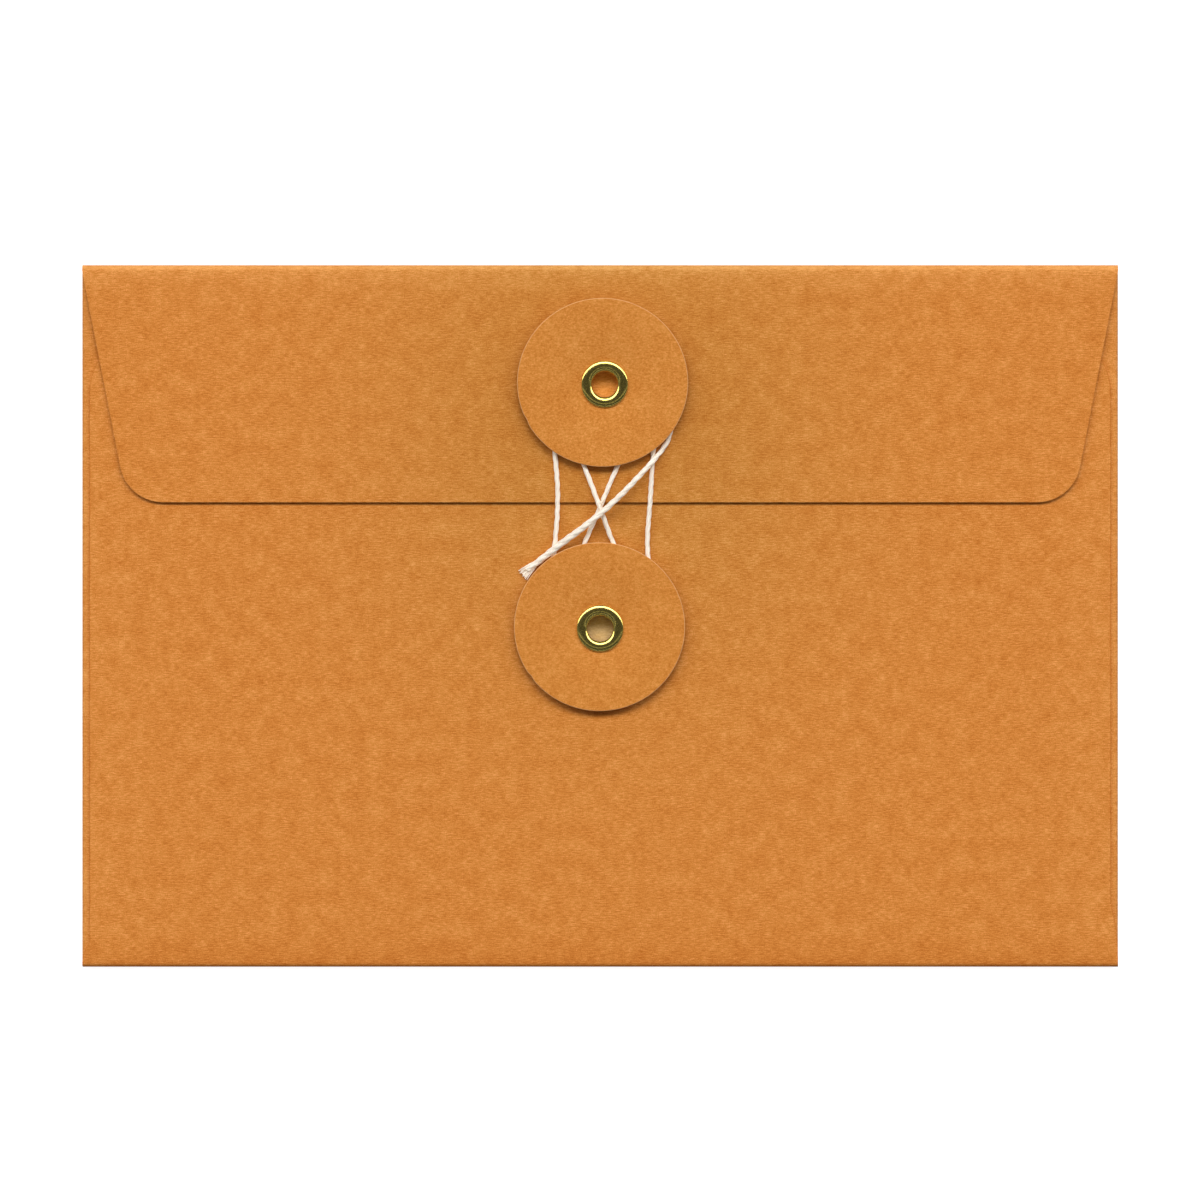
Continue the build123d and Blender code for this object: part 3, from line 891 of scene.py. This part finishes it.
front_outer, front_inward, front_blank = folded_panel(
    front_columns, front_low.y, bottom_bend, bottom_angles, front_heights, -1, front_half_width_at,
    front_height,
)
front_x, front_y = front_outer[:, :, 0], front_outer[:, :, 1]
front_side_painted_light = 0.15
front_side_light_line = 74 * mm
bottom_painted_shade = 0.42
cut_side_painted_shade = 0.8
bore_painted_light = 0.8
bore_light_radius = 2.5 * mm
# Painted light: the front wall is a little paler towards its sides.
front_tone = front_side_painted_light * near(front_side_light_line - np.abs(front_x), 8 * mm)
# Painted shade: darker towards the bottom fold, which faces away from the lamp.
front_tone -= bottom_painted_shade * near(front_y - front_low.y, 5.5 * mm) ** 1.5
# Painted shade: a thin dark line along each cut side, for the shadow beside the wall's edge.
front_tone[:, [0, -1]] = -cut_side_painted_shade
# Painted light: the wall is painted paler round the upper eyelet, where it is seen down the eyelet's bore,
# and the closure's painted shade is left off there.
from_bore_light = np.hypot(front_x - upper_button.x, front_y - upper_button.y)
bore_lit = near(from_bore_light - bore_light_radius, 2 * mm)
front_tone += bore_painted_light * bore_lit
front_holes = [(lower_button, eyelet_hole)]
front_sheet = paper_sheet(
    "front_sheet", front_outer, front_inward, front_blank, front_tone, front_holes, closure_shade_share=1 - bore_lit
)
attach(front_sheet, "envelope")
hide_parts("pocket_panel", "bottom_fold")

# Closing flap: the top of the sheet, folded over the front wall, with tapered sides and round corners.
# The upper eyelet's clinched end lies under it, so it stands up a little there and lies down at its sides.
flap_low, flap_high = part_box("closing_flap")
flap_fold_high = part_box("flap_fold")[1]
flap_bend = flap_fold_high.z / 2
flap_root = flap_high.y
flap_tip = flap_low.y
flap_root_half_width = flap_fold_high.x
flap_side_angle = math.radians(11.0)
flap_corner_radius = 6.5 * mm
flap_root_top = flap_fold_high.z
flap_tip_top = 1.94 * mm
flap_crown_top = flap_high.z
flap_side_share = 0.10
flap_tent = 30 * mm


def flap_half_width_at(y):
    """Half the flap's width at a height, with its side tapered and its corner round."""
    side_width = flap_root_half_width - (flap_root - y) * math.tan(flap_side_angle)
    corner_y = flap_tip + flap_corner_radius
    corner_side = flap_root_half_width - (flap_root - corner_y) * math.tan(flap_side_angle)
    corner_x = corner_side - flap_corner_radius / math.cos(flap_side_angle)
    if y > corner_y - flap_corner_radius * math.sin(flap_side_angle):
        return side_width
    return corner_x + math.sqrt(max(flap_corner_radius**2 - (y - corner_y) ** 2, 0.0))


def flap_height(x, y):
    """Height of the flap's outer face."""
    down = (flap_root - y) / (flap_root - flap_tip)
    line = flap_root_top + (flap_tip_top - flap_root_top) * down
    crown_at = (flap_root - upper_button.y) / (flap_root - flap_tip)
    crown_line = flap_root_top + (flap_tip_top - flap_root_top) * crown_at
    rise = (flap_crown_top - crown_line) * down * (1 - down) / (crown_at * (1 - crown_at))
    tent = flap_side_share + (1 - flap_side_share) * np.exp(-(((x - upper_button.x) / flap_tent) ** 2))
    return line + rise * tent


flap_columns = columns_about(upper_button.x, flap_root_half_width)
corner_angles = np.radians(np.linspace(90, 0, 13))[1:]
flap_heights = np.concatenate(
    [
        np.linspace(flap_root, upper_button.y + hole_reach, 14)[1:],
        np.linspace(upper_button.y + hole_reach, upper_button.y - hole_reach, 17)[1:],
        np.linspace(upper_button.y - hole_reach, flap_tip + flap_corner_radius, 10)[1:],
        flap_tip + flap_corner_radius - flap_corner_radius * np.cos(corner_angles),
    ]
)
flap_angles = bend_angles(-90, 90, fold_steps)
flap_outer, flap_inward, flap_blank = folded_panel(
    flap_columns, flap_root, flap_bend, flap_angles, flap_heights, 1, flap_half_width_at, flap_height
)
flap_x, flap_y = flap_outer[:, :, 0], flap_outer[:, :, 1]
fold_painted_light = 0.5
tip_paleness = 0.1
disc_painted_shade = 0.27
disc_reach = 12.7 * mm
from_disc = np.hypot(flap_x - upper_button.x, flap_y - upper_button.y) - disc_reach
# Painted light near the fold, where the flap bows down to it and faces the lamp, and a little paler towards
# the tip.
flap_tone = fold_painted_light * near(flap_root - flap_y, 5 * mm) ** 2
flap_tone += tip_paleness * near(flap_y - flap_tip, 7 * mm)
# Painted shade round the upper disc.
flap_tone -= disc_painted_shade * np.exp(-np.maximum(from_disc, 0) / (9 * mm))
# Painted highlight on the side of the fold that faces the lamp.
fold_painted_highlight = np.maximum(np.clip(1.6 * np.sin(2 * flap_angles), 0, 1), 0.5 * (flap_angles > math.pi / 4))
flap_tone[: len(flap_angles)] = fold_painted_highlight[:, None]
flap_holes = [(upper_button, eyelet_hole)]
flap_sheet = paper_sheet("flap_sheet", flap_outer, flap_inward, flap_blank, flap_tone, flap_holes)
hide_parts("closing_flap", "flap_fold")
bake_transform(flap_sheet, "envelope", "flap", start=(0, flap_root, paper), end=(0, flap_root, front_top))

# Side seams: a film of dried white glue holds the front wall on each side flap.
# It is pressed out thin, a little uneven, and hidden between the two layers.
dried_glue, glue_tree, glue_shader = principled("dried glue", 0.45)
glue_place = node(glue_tree, "ShaderNodeTexCoord").outputs["Object"]
glue_spread = node(glue_tree, "ShaderNodeTexNoise", {"Vector": glue_place, "Scale": 420.0, "Detail": 4.0})
glue_colours = ((0.30, (0.62, 0.52, 0.36)), (0.60, (0.80, 0.75, 0.62)))
glue_colour = colour_ramp(glue_tree, glue_spread, glue_colours)
glue_tree.links.new(glue_colour, glue_shader.inputs["Base Color"])
bump(glue_tree, glue_shader, glue_spread, 0.4, 0.03 * mm)


def finish_node(name, material):
    """Give a CAD piece that keeps its shape its finish."""
    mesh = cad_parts[name].data
    mesh.materials.clear()
    mesh.materials.append(material)


for side_name in ("left", "right"):
    finish_node(f"{side_name}_glue_line", dried_glue)

# Patches and necks: plain paper washers glued behind the sheet at each eyelet, and the smaller card washers
# that keep each disc off the paper, so that the string has a neck to go round.
card_fibres = (0.5 * mm, 0.3 * mm, 0.18 * mm, 2.5 * mm)
plain_kraft = kraft("plain kraft", (0.50, 0.325, 0.150), 0.10, sheet_fibres)
card = kraft("orange card", (0.670, 0.244, 0.0378), 0.115, card_fibres)
for button_name in ("upper", "lower"):
    finish_node(f"{button_name}_patch", plain_kraft)
    finish_node(f"{button_name}_spacer", card)

# Discs: die-cut card, dyed through like the sheet's outer face, smoother than the paper and paler where it is
# cut. The die leaves a pressed upper rim and a small nick where the waste was torn off, and the eyelet pulls
# the middle in, so each face is a very shallow dish.
card_edge = kraft("cut card edge", (0.78, 0.400, 0.150), 0.06, cut_fibres)
rim_round = 0.14 * mm
rim_steps = 5
disc_segments = 160
dish_slope = 0.085
dent_depth = 0.91 * mm
dent_width = 2.5 * mm
card_tree = card.node_tree
from_middle = node(card_tree, "ShaderNodeAttribute", attribute_name="from_middle").outputs["Vector"]
from_hole = node(card_tree, "ShaderNodeVectorMath", {0: from_middle}, operation="LENGTH").outputs["Value"]
dent_share = field(card_tree, "EXPONENT", field(card_tree, "DIVIDE", from_hole, -dent_width), 0)
dish_rise = field(card_tree, "MULTIPLY", from_hole, dish_slope)
dent_drop = field(card_tree, "MULTIPLY", dent_share, dent_depth)
dish_height = field(card_tree, "SUBTRACT", dish_rise, dent_drop)
dish = node(card_tree, "ShaderNodeBump", {"Height": dish_height, "Strength": 1.0, "Distance": 1.0})
card_tree.links.new(dish.outputs["Normal"], card_tree.nodes["Bump"].inputs["Normal"])
nick_depth = 0.16 * mm
nick_width = 0.035
oval_share = 0.0065
rim_excess = 0.0005


def turned(name, centre, profile, segments, materials, finish_of, outline=None, rim_shift=(0, 0)):
    """A round piece from a closed profile of (radius, height) points, turned about a centre.

    rim_shift is how far its rim is off the centre of its hole."""
    full_radius = max(radius for radius, height in profile)
    points = []
    places = []
    faces = []
    finishes = []
    count = len(profile)
    for i in range(segments):
        angle = math.tau * i / segments
        for radius, height in profile:
            reach = outline(radius, angle) if outline else radius
            x = rim_shift[0] * radius / full_radius + reach * math.cos(angle)
            y = rim_shift[1] * radius / full_radius + reach * math.sin(angle)
            points.append((centre.x + x, centre.y + y, height))
            places += (x, y, 0)
    for i in range(segments):
        here = i * count
        there = (i + 1) % segments * count
        for j in range(count):
            after = (j + 1) % count
            faces.append((here + j, there + j, there + after, here + after))
            finishes.append(finish_of(profile[j], profile[after]))
    piece = meshed(name, points, faces, materials, finishes, sharp_angle=35)
    piece.data.attributes.new("from_middle", "FLOAT_VECTOR", "POINT").data.foreach_set("vector", places)
    return piece


def round_edge(middle, width, height, start, end, steps):
    """Points of a round or oval edge in a turned profile, from one angle to another in degrees."""
    angles = np.radians(np.linspace(start, end, steps + 1))
    return [(middle[0] + width * math.cos(a), middle[1] + height * math.sin(a)) for a in angles]


disc_cuts = (
    ("upper", upper_button, 206.0, (-0.32 * mm, 0.27 * mm)),
    ("lower", lower_button, 216.0, (-0.09 * mm, 0.25 * mm)),
)
for button_name, centre, nick_angle, rim_shift in disc_cuts:
    disc_low, disc_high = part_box(f"{button_name}_disc")
    disc_radius = (disc_high.x - disc_low.x) / 2
    nick_at = math.radians(nick_angle)

    def nicked(radius, angle):
        """The disc's radius at an angle, with the nick in its rim, which is a little wider than high."""
        if radius < disc_radius - 2 * rim_round:
            return radius
        oval = oval_share * math.cos(2 * angle) + rim_excess
        return radius * (1 + oval) - nick_depth * math.exp(-(((angle - nick_at) / nick_width) ** 2))

    rim_middle = (disc_radius - rim_round, disc_high.z - rim_round)
    disc_profile = [
        (eyelet_hole, disc_low.z),
        (eyelet_hole, disc_high.z),
        (0.5 * disc_radius, disc_high.z),
        *round_edge(rim_middle, rim_round, rim_round, 90, 0, rim_steps),
        (disc_radius, disc_low.z + rim_round / 2),
        (disc_radius - rim_round / 2, disc_low.z),
        (0.5 * disc_radius, disc_low.z),
    ]

    def rim_or_face(first, second):
        """0 for the disc's faces, 1 for its cut rim."""
        return int(min(first[0], second[0]) > disc_radius - 0.75 * rim_round)

    disc_name = f"{button_name}_card_disc"
    cards = (card, card_edge)
    disc = turned(disc_name, centre, disc_profile, disc_segments, cards, rim_or_face, nicked, rim_shift)
    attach(disc, f"{button_name}_button")
    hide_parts(f"{button_name}_disc")

# Eyelets: thin brass, drawn to a tube with a flat-topped rolled flange above, and rolled out below the paper
# patch to rivet the stack. The polished flange has a few fine turning marks.
brass, brass_tree, brass_shader = principled("polished brass", 0.2, Metallic=1.0)
brass_place = node(brass_tree, "ShaderNodeTexCoord").outputs["Object"]
brass_marks = node(brass_tree, "ShaderNodeTexNoise", {"Vector": brass_place, "Scale": 2600.0, "Detail": 3.0})
brass_colours = ((0.35, (0.80, 0.62, 0.14)), (0.65, (0.88, 0.70, 0.19)))
brass_colour = colour_ramp(brass_tree, brass_marks, brass_colours)
brass_tree.links.new(brass_colour, brass_shader.inputs["Base Color"])
brass_rough = node(brass_tree, "ShaderNodeMapRange", {"Value": brass_marks, "To Min": 0.10, "To Max": 0.20})
brass_tree.links.new(brass_rough.outputs["Result"], brass_shader.inputs["Roughness"])
bump(brass_tree, brass_shader, brass_marks, 0.01, 0.02 * mm)
bore_radius = 1.95 * mm
barrel_radius = 2.20 * mm
lip_width = 0.70 * mm
lip_drop = 0.35 * mm
slope_width = 0.74 * mm
slope_drop = 0.22 * mm
clinch_depth = 0.40 * mm
clinch_lip = 0.12 * mm
clinch_radius = 3.2 * mm
clinch_roll = 0.3 * mm
clinch_drop = 0.1 * mm
roll_inset = 0.25 * mm
roll_rise = 0.02 * mm
flange_tuck = 0.05 * mm
eyelet_segments = 96
for button_name, centre, body in (("upper", upper_button, "flap"), ("lower", lower_button, "envelope")):
    eyelet_low, eyelet_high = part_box(f"{button_name}_eyelet")
    flange_radius = (eyelet_high.x - eyelet_low.x) / 2
    flange_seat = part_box(f"{button_name}_disc")[1].z
    clinch_seat = eyelet_low.z + clinch_depth
    lip_middle = (bore_radius + lip_width, eyelet_high.z - lip_drop)
    slope_middle = (flange_radius - slope_width, eyelet_high.z - slope_drop)
    roll_middle = (clinch_radius - clinch_roll, clinch_seat - clinch_drop)
    eyelet_profile = [
        (bore_radius, clinch_seat - clinch_lip),
        *round_edge(lip_middle, lip_width, lip_drop, 180, 90, 10),
        *round_edge(slope_middle, slope_width, slope_drop, 90, 0, 10),
        (flange_radius - flange_tuck, flange_seat),
        (barrel_radius, flange_seat),
        (barrel_radius, clinch_seat),
        (clinch_radius, clinch_seat),
        *round_edge(roll_middle, clinch_roll, clinch_roll, 0, -90, 5),
        (bore_radius + roll_inset, eyelet_low.z + roll_rise),
    ]
    eyelet_name = f"{button_name}_brass_eyelet"
    eyelet = turned(eyelet_name, centre, eyelet_profile, eyelet_segments, (brass,), lambda first, second: 0)
    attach(eyelet, body)
    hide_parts(f"{button_name}_eyelet")
